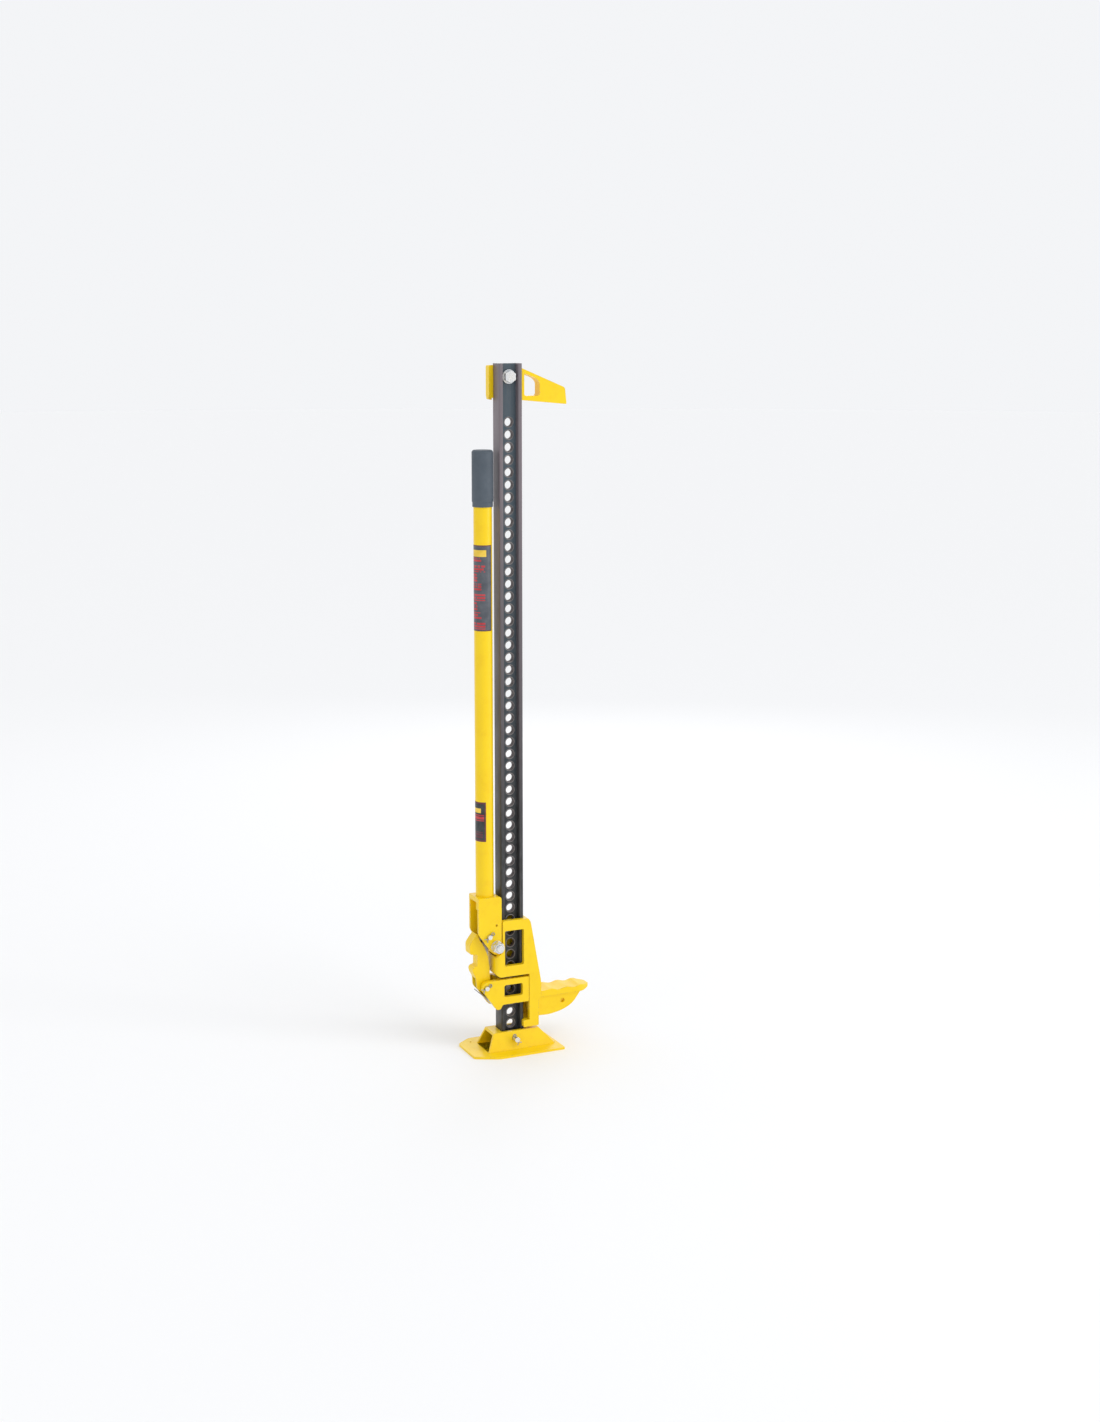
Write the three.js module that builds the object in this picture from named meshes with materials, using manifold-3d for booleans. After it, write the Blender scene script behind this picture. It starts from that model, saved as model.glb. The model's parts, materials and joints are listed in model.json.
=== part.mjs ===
// A high-lift toe jack in millimetres. +X is the toe side, -Y the front, and +Z is up.
// The steel standard stands on a pressed base plate. A large runner with the toe and a small
// runner hang on it, joined by a pitman link that the handle works.

import * as THREE from "three";
import { mergeVertices } from "three/addons/utils/BufferGeometryUtils.js";
import Module from "manifold-3d";

const wasm = await Module();
wasm.setup();

// Driving dimensions.
const HOLE_PITCH = 21.5;
const HOLE_COUNT = 51;
const HOLE_RADIUS = 7.2;
const FIRST_HOLE_Z = 44.5;
const BAR = { width: 43, depth: 29, flange: 7.5, web: 9, foot: 0, top: 1219 };
const BASE_PIN = { x: 0, z: FIRST_HOLE_Z - HOLE_PITCH, radius: 4.8, splitPinTurn: -30 };
const CLAMP_BOLT = { z: 1196.5, radius: 5.9 };
const HEX_ACROSS_FLATS = 19;
const BOLT_PLAY = 0.4;
const GAP = 0.35;

const BASE = { length: 168, width: 115, plate: 4, ridgeTop: 35 };
const SHEAR_AXIS = { x: -34, z: 197, radius: 6 };
const CRANK_RADIUS = 23.54;
const CRANK_START_DEG = 126;
const LINK_PIN = {
  x: SHEAR_AXIS.x + CRANK_RADIUS * Math.cos(THREE.MathUtils.degToRad(CRANK_START_DEG)),
  z: SHEAR_AXIS.z + CRANK_RADIUS * Math.sin(THREE.MathUtils.degToRad(CRANK_START_DEG)),
  radius: 4,
  splitPinTurn: 50,
};
const PIVOT_PIN = { x: -54, z: 122.5, radius: 4, splitPinTurn: 60 };
const CROSS_PIN_FRONT = -28;
const SPLIT_PIN_Y = -25;
const BASE_SPLIT_PIN_Y = -33.5;
const TUBE = { x: -47, radius: 16, wall: 2.6, bottom: 262, top: 1068 };
const ROLL_PIN = { z: 270, radius: 2.6, front: -13, back: 22.6 };
const LINK_HALF = 6.2;
const LINK_PLAY = 2.6;
const LATCH = { half: 10.4, slotHalf: 6.8 };
const GRIP = { radius: 18.5, bottom: 976, top: 1073 };

const LARGE = { halfDepth: 24, top: 242, bottom: 138.5, pinZ: FIRST_HOLE_Z + 8 * HOLE_PITCH };
const SMALL = { halfDepth: 23, top: 133.5, bottom: 87.5, pinZ: FIRST_HOLE_Z + 3 * HOLE_PITCH };
const SLEEVE = { halfX: BAR.width / 2 + 0.4, halfY: BAR.depth / 2 + 0.8 };
const PIN = { radius: 6.5, tip: 6, collar: 9.3, collarStart: 28.5, end: 66, crossPin: 61 };
const BOSS = { radius: 14, bore: 9.8, depth: 22, cap: 5 };
const TOE = { start: 45, shoulder: 134, tip: 153, halfWidth: 21, bottom: 91, top: 102 };
const TOE_WAVE = { start: 65, length: 30, height: 1.6 };

const yellow = () => new THREE.MeshStandardMaterial({ color: 0xf7c800, roughness: 0.38, metalness: 0 });
const black = () => new THREE.MeshStandardMaterial({ color: 0x20262b, roughness: 0.42, metalness: 0 });
const zinc = () => new THREE.MeshStandardMaterial({ color: 0xc9cacc, roughness: 0.32, metalness: 1 });
const steel = () => new THREE.MeshStandardMaterial({ color: 0x8d8f92, roughness: 0.4, metalness: 1 });
const rubber = () => new THREE.MeshStandardMaterial({ color: 0x454d57, roughness: 0.7, metalness: 0 });

// A closed geometry as a solid that can be joined and cut.
function solid(geometry) {
  const plain = geometry.index ? geometry.toNonIndexed() : geometry.clone();
  plain.deleteAttribute("normal");
  plain.deleteAttribute("uv");
  const merged = mergeVertices(plain, 1e-4);
  return new wasm.Manifold(
    new wasm.Mesh({
      numProp: 3,
      vertProperties: merged.attributes.position.array,
      triVerts: new Uint32Array(merged.index.array),
    }),
  );
}

// A solid back as a named mesh.
function piece(name, shape, material) {
  const data = shape.getMesh();
  const geometry = new THREE.BufferGeometry();
  const positions = new Float32Array(data.vertProperties);
  geometry.setAttribute("position", new THREE.BufferAttribute(positions, 3));
  geometry.setIndex(new THREE.BufferAttribute(new Uint32Array(data.triVerts), 1));
  geometry.computeVertexNormals();
  const mesh = new THREE.Mesh(geometry, material);
  mesh.name = name;
  return mesh;
}

const join = (...shapes) => shapes.reduce((sum, shape) => sum.add(shape));
const cut = (shape, ...tools) => tools.reduce((rest, tool) => rest.subtract(tool), shape);

// A box between two corners.
function box([x0, y0, z0], [x1, y1, z1]) {
  const geometry = new THREE.BoxGeometry(x1 - x0, y1 - y0, z1 - z0);
  return solid(geometry.translate((x0 + x1) / 2, (y0 + y1) / 2, (z0 + z1) / 2));
}

// A round bar along Y, at x and z, from y0 to y1.
function rodY(radius, x, z, y0, y1, sides = 24) {
  const geometry = new THREE.CylinderGeometry(radius, radius, y1 - y0, sides);
  return solid(geometry.translate(x, (y0 + y1) / 2, z));
}

// A round bar along X, at y and z, from x0 to x1.
function rodX(radius, y, z, x0, x1, sides = 16) {
  const geometry = new THREE.CylinderGeometry(radius, radius, x1 - x0, sides);
  return solid(geometry.rotateZ(Math.PI / 2).translate((x0 + x1) / 2, y, z));
}

// A closed outline through corners [u, v, setback]. A round starts the setback before its corner,
// or just short of half way along the shorter of the two edges there.
function outline(corners) {
  const shape = new THREE.Shape();
  const at = (i) => new THREE.Vector2(...corners[(i + corners.length) % corners.length].slice(0, 2));
  corners.forEach(([u, v, setback = 0], i) => {
    const room = 0.48 * Math.min(at(i).distanceTo(at(i - 1)), at(i).distanceTo(at(i + 1)));
    const towards = (other) => other.sub(at(i)).setLength(Math.min(setback, room)).add(at(i));
    const start = setback ? towards(at(i - 1)) : at(i);
    if (i === 0) shape.moveTo(start.x, start.y);
    else shape.lineTo(start.x, start.y);
    if (setback) {
      const end = towards(at(i + 1));
      shape.quadraticCurveTo(u, v, end.x, end.y);
    }
  });
  shape.closePath();
  return shape;
}

// An outline in X and Z, as thick as from y0 to y1.
function plate(corners, y0, y1, rounds = 5) {
  const options = { depth: y1 - y0, bevelEnabled: false, curveSegments: rounds };
  const geometry = new THREE.ExtrudeGeometry(outline(corners), options);
  return solid(geometry.rotateX(Math.PI / 2).translate(0, y1, 0));
}

// An outline in X and Y, as high as from z0 to z1.
function slab(corners, z0, z1, rounds = 5) {
  const options = { depth: z1 - z0, bevelEnabled: false, curveSegments: rounds };
  const geometry = new THREE.ExtrudeGeometry(outline(corners), options);
  return solid(geometry.translate(0, 0, z0));
}

// The same plate at the front and at the back, between two distances from the middle plane.
const bothSides = (corners, inner, outer) =>
  join(plate(corners, -outer, -inner), plate(corners, inner, outer));

// A hexagonal nut or bolt head along Y.
function hexagon(acrossFlats, x, z, y0, y1) {
  return rodY(acrossFlats / Math.sqrt(3), x, z, y0, y1, 6);
}

// A split pin standing in a crosswise hole: an eye above the shank and two bent legs below it.
function splitPin(name, { x, z, radius, splitPinTurn }, y) {
  const eyeCentre = radius + 3.9;
  const below = -radius - 1.2;
  const eye = new THREE.TorusGeometry(2.6, 0.9, 6, 12).rotateX(Math.PI / 2);
  const legs = [-1, 1].map((side) => {
    const path = new THREE.CatmullRomCurve3([
      new THREE.Vector3(side * 0.5, 0, eyeCentre - 2.5),
      new THREE.Vector3(side * 0.5, 0, 0),
      new THREE.Vector3(side * 0.5, 0, below),
      new THREE.Vector3(side * 2, 0, below - 2.4),
      new THREE.Vector3(side * 4.6, 0, below - 4),
    ]);
    const ring = new THREE.Shape().absarc(0, 0, 0.85, 0, Math.PI * 2);
    const options = { steps: 9, curveSegments: 3, extrudePath: path };
    return solid(new THREE.ExtrudeGeometry(ring, options));
  });
  const whole = join(solid(eye.translate(0, 0, eyeCentre)), ...legs);
  return piece(name, whole.rotate([0, splitPinTurn, 0]).translate([x, y, z]), steel());
}

// The crosswise hole that a split pin stands in.
function splitPinHole({ x, z, splitPinTurn }, y) {
  const hole = solid(new THREE.CylinderGeometry(1.9, 1.9, 30, 12).rotateX(Math.PI / 2));
  return hole.rotate([0, splitPinTurn, 0]).translate([x, y, z]);
}

// The standard: a steel I-section with a row of pin holes, a hole for the base pin
// and one for the clamp bolt.
function standardBar() {
  const halfWidth = BAR.width / 2;
  const halfWeb = BAR.web / 2;
  const innerX = halfWidth - BAR.flange;
  const web = new THREE.Shape();
  web.moveTo(-innerX - 1, BAR.foot);
  web.lineTo(innerX + 1, BAR.foot);
  web.lineTo(innerX + 1, BAR.top);
  web.lineTo(-innerX - 1, BAR.top);
  const addHole = (z, radius) => web.holes.push(new THREE.Path().absarc(0, z, radius, 0, Math.PI * 2));
  for (let i = 0; i < HOLE_COUNT; i++) addHole(FIRST_HOLE_Z + i * HOLE_PITCH, HOLE_RADIUS);
  addHole(BASE_PIN.z, BASE_PIN.radius + BOLT_PLAY);
  addHole(CLAMP_BOLT.z, CLAMP_BOLT.radius + BOLT_PLAY);
  const options = { depth: BAR.web, bevelEnabled: false, curveSegments: 6 };
  const webGeometry = new THREE.ExtrudeGeometry(web, options).rotateX(Math.PI / 2);
  const webSolid = solid(webGeometry.translate(0, halfWeb, 0));
  const flanges = [-1, 1].map((side) => {
    const outer = side * halfWidth;
    const inner = side * innerX;
    const halfDepth = BAR.depth / 2;
    const corners = [
      [outer, -halfDepth, 2],
      [outer, halfDepth, 2],
      [inner, halfDepth, 1.5],
      [inner - side, 0],
      [inner, -halfDepth, 1.5],
    ];
    return slab(side > 0 ? corners : corners.reverse(), BAR.foot, BAR.top, 2);
  });
  return piece("standard_bar", join(webSolid, ...flanges), black());
}

// A block whose top and bottom are rectangles [x0, x1, halfWidth] at two heights.
function taperedBlock([x0, x1, half], z0, [x2, x3, topHalf], z1) {
  const geometry = new THREE.BoxGeometry(1, 1, 1);
  const points = geometry.attributes.position;
  for (let i = 0; i < points.count; i++) {
    const upper = points.getZ(i) > 0;
    const right = points.getX(i) > 0;
    const side = Math.sign(points.getY(i));
    const x = upper ? (right ? x3 : x2) : right ? x1 : x0;
    points.setXYZ(i, x, side * (upper ? topHalf : half), upper ? z1 : z0);
  }
  return solid(geometry);
}

// The base: a pressed plate with clipped corners and a raised hollow ridge that is open at its
// left end. The standard stands in a slot in the ridge.
function basePlate() {
  const halfLength = BASE.length / 2;
  const halfWidth = BASE.width / 2;
  const flange = slab(
    [
      [-halfLength, -halfWidth + 20, 5],
      [-halfLength + 42, -halfWidth, 8],
      [halfLength, -halfWidth, 3],
      [halfLength - 3, halfWidth - 14, 4],
      [halfLength - 20, halfWidth, 6],
      [-halfLength + 26, halfWidth, 6],
      [-halfLength, halfWidth - 20, 5],
    ],
    0,
    BASE.plate,
  );
  const ridge = taperedBlock([-54, 80, 31], 0, [-39, 48, 20.5], BASE.ridgeTop);
  const hollow = taperedBlock([-70, 71, 25.5], BASE.plate, [-70, 43, 16.6], BASE.ridgeTop - 4);
  const slot = box([-BAR.width / 2 - 0.5, -15.1, -1], [BAR.width / 2 + 0.5, 15.1, 50]);
  const drainGeometry = new THREE.CylinderGeometry(2, 2, 20, 16).rotateX(Math.PI / 2);
  const drain = solid(drainGeometry.translate(-61, 37, 0));
  const shell = join(flange, cut(ridge, hollow));
  const pinHole = rodY(BASE_PIN.radius + BOLT_PLAY, BASE_PIN.x, BASE_PIN.z, -60, 60);
  return piece("base_plate", cut(shell, slot, drain, pinHole), yellow());
}

// The pin through the ridge and the foot of the standard, with its split pin at the front.
function basePin() {
  const shank = rodY(BASE_PIN.radius, BASE_PIN.x, BASE_PIN.z, -37, 28);
  const head = rodY(8, BASE_PIN.x, BASE_PIN.z, 27.5, 32);
  return piece("base_pin", cut(join(shank, head), splitPinHole(BASE_PIN, BASE_SPLIT_PIN_Y)), zinc());
}

// The top clamp: it wraps the back of the standard, with a lip at the left and a jaw at the right.
function topClamp() {
  const halfX = BAR.width / 2 + GAP;
  const back = BAR.depth / 2 + GAP;
  const backPlate = plate([[-30, 1161, 3], [27, 1157, 3], [27, 1211, 3], [-30, 1216, 4]], back, back + 9);
  const lip = plate([[-30, 1161, 3], [-halfX, 1160, 0], [-halfX, 1216, 0], [-30, 1216, 4]], 10, back + 1);
  const lipFoot = plate([[-30, 1158, 2], [-24, 1157, 1], [-24, 1164, 0], [-30, 1164, 0]], 12, back + 7);
  const jaw = cut(
    plate([[halfX, 1156.5], [106.5, 1148.4, 2], [103.5, 1177, 4], [halfX, 1211]], -10.5, 10.5),
    plate([[27, 1163.5, 4], [56, 1163.5, 5], [56, 1187, 5], [48, 1194, 4], [27, 1202, 4]], -20, 20),
  );
  const sideWall = plate([[halfX, 1156.5], [27, 1156.1], [27, 1208.8], [halfX, 1211]], -10.5, back + 1);
  const boss = rodY(11, 0, CLAMP_BOLT.z, BAR.web / 2 + GAP, back + 1);
  const hole = rodY(CLAMP_BOLT.radius + BOLT_PLAY, 0, CLAMP_BOLT.z, -10, 40);
  return piece("top_clamp", cut(join(backPlate, lip, lipFoot, jaw, sideWall, boss), hole), yellow());
}

// The bolt, washer and nut that clamp the top casting to the web.
function clampFasteners() {
  const front = -BAR.web / 2 - GAP;
  const back = BAR.depth / 2 + GAP + 9 + GAP;
  const { z, radius } = CLAMP_BOLT;
  const hole = rodY(radius + BOLT_PLAY, 0, z, -60, 60);
  const shank = rodY(radius, 0, z, front - 4, back + 14);
  const head = hexagon(HEX_ACROSS_FLATS, 0, z, front - 10.5, front - 3 - GAP);
  const ring = cut(rodY(12.3, 0, z, front - 3, front), hole);
  const nut = cut(hexagon(HEX_ACROSS_FLATS, 0, z, back, back + 10), hole);
  return [
    piece("clamp_bolt", join(shank, head), zinc()),
    piece("clamp_washer", ring, zinc()),
    piece("clamp_nut", nut, zinc()),
  ];
}

// The housing of a climbing pin at the back of a runner, and the bore through it.
function pinHousing(z, halfDepth) {
  const end = halfDepth + BOSS.depth;
  return {
    boss: rodY(BOSS.radius, 0, z, halfDepth - 2, end, 40),
    bores: [rodY(BOSS.bore, 0, z, 10, end - BOSS.cap), rodY(PIN.radius + 0.4, 0, z, 10, end + 5)],
  };
}

// The toe: a plate with a shallow wavy top and a rounded tip, on two curved ribs.
function toe() {
  const top = [];
  for (let x = TOE.start; x <= TOE.tip - 9; x += 5) {
    const wave = Math.sin(((x - TOE_WAVE.start) / TOE_WAVE.length) * Math.PI * 2);
    top.unshift([x, TOE.top + (x > TOE_WAVE.start ? TOE_WAVE.height * wave : 0)]);
  }
  const side = [
    [TOE.start, TOE.bottom],
    [TOE.shoulder + 6, TOE.bottom, 6],
    [TOE.tip, 95, 2],
    [TOE.tip, 100, 2],
  ];
  const plan = [
    [TOE.start, -TOE.halfWidth],
    [TOE.shoulder, -TOE.halfWidth, 8],
    [TOE.tip, -9, 7],
    [TOE.tip, 9, 7],
    [TOE.shoulder, TOE.halfWidth, 8],
    [TOE.start, TOE.halfWidth],
  ];
  const pad = slab(plan, 80, 120).intersect(plate([...side, ...top], -30, 30));
  const rib = [[TOE.start, 56], [70, 55, 8], [97, 60, 14], [117, 70, 14], [133, 92], [TOE.start, 92]];
  const holes = rodY(4.2, 96.5, 78, -40, 40, 24);
  return join(pad, cut(bothSides(rib, 11, 18), holes));
}

// The large runner: a cast box around the standard, with the toe, a guide leg that reaches down
// beside the small runner, lugs for the handle and the housing of the upper climbing pin.
function largeRunner() {
  const half = LARGE.halfDepth;
  const body = plate(
    [
      [-22.6, LARGE.top, 3],
      [-22.6, 184, 2],
      [-37, 174, 4],
      [-37, 146, 5],
      [-28.5, LARGE.bottom, 4],
      [28.8, LARGE.bottom],
      [28.8, 53],
      [17, 53, 2],
      [17, 40, 3],
      [47, 40, 3],
      [47, 88, 2],
      [52, 92, 2],
      [52, 120, 8],
      [47, 149, 6],
      [31.5, 234.5, 4],
      [27.5, LARGE.top - 1, 2],
    ],
    -half,
    half,
  );
  const plan = slab([[-37, -half, 10], [70, -half], [70, half], [-37, half, 10]], 0, LARGE.top + 1, 6);
  const sleeve = box([-SLEEVE.halfX, -SLEEVE.halfY, 0], [SLEEVE.halfX, SLEEVE.halfY, 300]);
  const legPocket = box([28, -16, 53], [39, 16, 130]);
  const leftPocket = join(box([-33, -16, 100], [-27, 16, 180]), box([-60, -16, 176], [-27, 16, 260]));
  const window = plate([[-18.5, 158, 3], [18, 158, 3], [18, 223, 3], [-18.5, 223, 3]], -40, -10);
  const leftWall = box([-27, -16.3, LARGE.bottom], [-SLEEVE.halfX, 16.3, LARGE.top - 1]);
  const lugs = bothSides(
    [[-24, 176], [-36, 180, 6], [-46.2, 190, 6], [-46.2, 203, 7], [-34, 209.5, 6], [-24, 216]],
    8.5,
    15.8,
  );
  const { boss, bores } = pinHousing(LARGE.pinZ, half);
  const shell = cut(join(body.intersect(plan), boss), sleeve, legPocket, leftPocket, window, ...bores);
  const shaft = rodY(SHEAR_AXIS.radius + GAP, SHEAR_AXIS.x, SHEAR_AXIS.z, -60, 60);
  return piece("large_runner", join(shell, toe(), cut(join(leftWall, lugs), shaft)), yellow());
}

// The small runner: a shorter cast box with two ears for the pivot pin and the housing of the
// lower climbing pin.
function smallRunner() {
  const half = SMALL.halfDepth;
  const body = plate(
    [
      [-46, SMALL.top, 3],
      [-58, 132, 5],
      [-61, 126, 4],
      [-61, 116, 4],
      [-57, 111.5, 4],
      [-34, 79, 3],
      [-27, 79, 3],
      [-22.5, SMALL.bottom, 3],
      [28.3, SMALL.bottom, 3],
      [28.3, SMALL.top, 2],
    ],
    -half,
    half,
  );
  const sleeve = box([-SLEEVE.halfX, -SLEEVE.halfY, 0], [SLEEVE.halfX, SLEEVE.halfY, 300]);
  const leftPocket = box([-80, -14, 60], [-27.5, 14, 150]);
  const window = plate([[-19.5, 101, 4], [16, 101, 4], [16, 123, 4], [-19.5, 123, 4]], -40, -10);
  const shaft = rodY(PIVOT_PIN.radius + GAP, PIVOT_PIN.x, PIVOT_PIN.z, -60, 60);
  const { boss, bores } = pinHousing(SMALL.pinZ, half);
  return piece("small_runner", cut(join(body, boss), sleeve, leftPocket, window, shaft, ...bores), yellow());
}

// A climbing pin drawn back clear of the standard, with its collar, and the cross pin at its end.
function climbingPin(place, z, shift) {
  const body = join(
    rodY(PIN.radius, 0, z, PIN.tip + 1.5, PIN.end + shift),
    rodY(PIN.radius - 1.2, 0, z, PIN.tip, PIN.tip + 2),
    rodY(PIN.collar, 0, z, PIN.collarStart + shift, PIN.collarStart + 3 + shift),
  );
  const crossPin = rodX(2, PIN.crossPin + shift, z, -11, 11);
  const crossHole = rodX(2 + GAP, PIN.crossPin + shift, z, -20, 20);
  return [
    piece("climbing_pin_" + place, cut(body, crossHole), steel()),
    piece("cross_pin_" + place, crossPin, zinc()),
  ];
}

// The spring between a pin's collar and the end of its housing, as a sleeve of its outer size.
function pinSpring(place, z, shift) {
  const start = PIN.collarStart + 3 + shift + GAP;
  const end = LARGE.halfDepth + BOSS.depth - BOSS.cap + shift - GAP;
  const sleeve = cut(rodY(9.2, 0, z, start, end), rodY(PIN.radius + GAP, 0, z, start - 5, end + 5));
  return piece("pin_spring_" + place, sleeve, steel());
}

// The handle socket: two cheeks, a web at the standard's side and a collar around the tube.
function handleSocket() {
  const inner = 16.7;
  const outer = 22;
  const cheek = [
    [-68, 287, 2],
    [-68, 221.5, 5],
    [-43.5, 186.8, 7],
    [-23.8, 186.8, 10.2],
    [-23.8, 287, 6],
  ];
  const cheeks = bothSides(cheek, inner, outer);
  const web = box([-29.5, -inner - 1, 246], [-23.8, inner + 1, 282]);
  const collar = box([-68, -inner - 1, 279], [-28, inner + 1, 287]);
  const bore = new THREE.CylinderGeometry(TUBE.radius + GAP, TUBE.radius + GAP, 60, 48);
  const shaft = rodY(SHEAR_AXIS.radius + GAP, SHEAR_AXIS.x, SHEAR_AXIS.z, -60, 60);
  const linkHole = rodY(LINK_PIN.radius + GAP, LINK_PIN.x, LINK_PIN.z, -60, 60);
  const smallHole = rodY(2, -33.5, 235, -60, 0, 16);
  const rollPinHole = rodY(ROLL_PIN.radius + GAP, TUBE.x, ROLL_PIN.z, 0, 60, 20);
  const shell = cut(
    join(cheeks, web, collar),
    solid(bore.rotateX(Math.PI / 2).translate(TUBE.x, 0, 285)),
    shaft,
    linkHole,
    smallHole,
    rollPinHole,
  );
  return piece("handle_socket", shell, yellow());
}

// The shear bolt on which the handle turns, with its nut and a washer under it.
function shearBolt() {
  const { x, z, radius } = SHEAR_AXIS;
  const shank = rodY(radius, x, z, -42, 23);
  const head = hexagon(HEX_ACROSS_FLATS, x, z, 22 + GAP, 30);
  const washer = cut(rodY(10.8, x, z, -24.5, -22 - GAP), rodY(radius + GAP, x, z, -60, 0));
  const hex = hexagon(HEX_ACROSS_FLATS, x, z, -33, -24.5 - GAP);
  const collar = rodY(9.2, x, z, -37.5, -32.5);
  const nut = cut(join(hex, collar), rodY(radius + GAP, x, z, -60, 0));
  return [
    piece("shear_bolt", join(shank, head), zinc()),
    piece("shear_washer", washer, zinc()),
    piece("shear_nut", nut, zinc()),
  ];
}

// A headed cross pin with a split pin near its front end.
function crossPin(name, pin, back) {
  const shank = rodY(pin.radius, pin.x, pin.z, CROSS_PIN_FRONT, back + 1);
  const head = rodY(pin.radius + 2, pin.x, pin.z, back + GAP, back + 3.5);
  return piece(name, cut(join(shank, head), splitPinHole(pin, SPLIT_PIN_Y)), zinc());
}

// The pitman: a flat link from the handle's crank pin to the pivot pin of the small runner. Its
// lower eye is wide, so that the pivot pin has play in it.
function pitman() {
  const link = plate(
    [
      [LINK_PIN.x - 7.5, LINK_PIN.z + 7.5, 6],
      [LINK_PIN.x - 6, 190, 20],
      [PIVOT_PIN.x - 5.5, 150, 12],
      [PIVOT_PIN.x - 9.6, PIVOT_PIN.z - 3.5, 4],
      [PIVOT_PIN.x - 4, PIVOT_PIN.z - 9.6, 4],
      [PIVOT_PIN.x + 4, PIVOT_PIN.z - 9.6, 4],
      [PIVOT_PIN.x + 9.6, PIVOT_PIN.z - 3.5, 4],
      [PIVOT_PIN.x + 7.5, 145, 12],
      [LINK_PIN.x + 4, 185, 12],
      [LINK_PIN.x + 7.5, LINK_PIN.z + 7.5, 6],
    ],
    -LINK_HALF,
    LINK_HALF,
  );
  const upperEye = rodY(LINK_PIN.radius + GAP, LINK_PIN.x, LINK_PIN.z, -20, 20);
  const lowerEye = rodY(PIVOT_PIN.radius + LINK_PLAY, PIVOT_PIN.x, PIVOT_PIN.z, -20, 20);
  return piece("pitman", cut(link, upperEye, lowerEye), steel());
}

// The reversing latch: a thick casting with a thumb knob and a finger notch, slotted for the pitman.
function reversingLatch() {
  const body = plate(
    [
      [-66, 221.5, 3],
      [-76, 209, 4],
      [-80.5, 202, 5],
      [-80, 184, 4],
      [-73, 183, 3],
      [-66, 182, 8],
      [-66, 160.5, 8],
      [-72, 160, 3],
      [-75.5, 156, 4],
      [-74, 148, 5],
      [-68.5, 139, 6],
      [-68, 124, 5],
      [-65, 118, 5],
      [-57.5, 111.3, 6],
      [-47, 111.3, 8],
      [-41.5, 122, 6],
      [-43, 160, 4],
      [-46.5, 180, 6],
      [-54.5, 199, 6],
      [-62.5, 210, 4],
    ],
    -LATCH.half,
    LATCH.half,
  );
  const slot = plate(
    [
      [-80, 90],
      [-30, 90],
      [-30, 235],
      [-67, 235],
      [-67, 190],
      [-63, 180, 6],
      [-63, 164, 6],
      [-67, 150, 6],
      [-67, 140],
      [-80, 130],
    ],
    -LATCH.slotHalf,
    LATCH.slotHalf,
  );
  const shaft = rodY(PIVOT_PIN.radius + GAP, PIVOT_PIN.x, PIVOT_PIN.z, -20, 20);
  return piece("reversing_latch", cut(body, slot, shaft), yellow());
}

// The leaf spring clip under the latch, between the ears of the small runner.
function latchClip() {
  const strip = [
    [-64, 111.3],
    [-45, 94.6, 5],
    [-37.2, 84.5, 3],
    [-27.9, 84.5],
    [-27.9, 86.2],
    [-36.3, 86.2, 3],
    [-44, 95.9, 5],
    [-63, 112.6],
  ];
  return piece("latch_spring_clip", plate(strip, -12.5, 12.5), steel());
}

// The handle: a steel tube with a rubber grip over its upper end.
function handle() {
  const turned = (points) => {
    const profile = points.map(([radius, z]) => new THREE.Vector2(radius, z));
    const geometry = new THREE.LatheGeometry([...profile, profile[0]], 48);
    return solid(geometry.rotateX(Math.PI / 2).translate(TUBE.x, 0, 0));
  };
  const inner = TUBE.radius - TUBE.wall;
  const tube = turned([
    [inner, TUBE.bottom],
    [TUBE.radius, TUBE.bottom],
    [TUBE.radius, TUBE.top],
    [inner, TUBE.top],
  ]);
  const clearance = TUBE.radius + GAP;
  const grip = turned([
    [clearance, GRIP.bottom],
    [GRIP.radius - 0.8, GRIP.bottom],
    [GRIP.radius - 0.8, GRIP.bottom + 8],
    [GRIP.radius, GRIP.bottom + 9],
    [GRIP.radius, GRIP.top - 3],
    [GRIP.radius - 2.5, GRIP.top],
    [0, GRIP.top + 1],
    [0, TUBE.top + GAP],
    [clearance, TUBE.top + GAP],
  ]);
  const rollPin = rodY(ROLL_PIN.radius, TUBE.x, ROLL_PIN.z, ROLL_PIN.front, ROLL_PIN.back, 20);
  const rollPinHole = rodY(ROLL_PIN.radius + GAP, TUBE.x, ROLL_PIN.z, 0, 60, 20);
  return [
    piece("handle_tube", cut(tube, rollPinHole), yellow()),
    piece("handle_grip", grip, rubber()),
    piece("tube_roll_pin", rollPin, zinc()),
  ];
}

const smallShift = SMALL.halfDepth - LARGE.halfDepth;
const jack = new THREE.Group();
jack.add(standardBar(), basePlate(), basePin(), splitPin("base_split_pin", BASE_PIN, BASE_SPLIT_PIN_Y));
jack.add(topClamp(), ...clampFasteners());
jack.add(largeRunner(), smallRunner());
jack.add(...climbingPin("upper", LARGE.pinZ, 0), pinSpring("upper", LARGE.pinZ, 0));
jack.add(...climbingPin("lower", SMALL.pinZ, smallShift), pinSpring("lower", SMALL.pinZ, smallShift));
jack.add(handleSocket(), ...shearBolt(), ...handle());
jack.add(crossPin("crank_pin", LINK_PIN, 22), splitPin("crank_split_pin", LINK_PIN, SPLIT_PIN_Y));
jack.add(crossPin("pivot_pin", PIVOT_PIN, SMALL.halfDepth));
jack.add(splitPin("pivot_split_pin", PIVOT_PIN, SPLIT_PIN_Y));
jack.add(pitman(), reversingLatch(), latchClip());

export default jack;
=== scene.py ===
"""A high-lift toe jack on a pale studio floor. Lengths are in metres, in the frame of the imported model."""

import json
import math
import random

import bmesh
import bpy
from mathutils import Euler, Matrix, Vector


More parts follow.
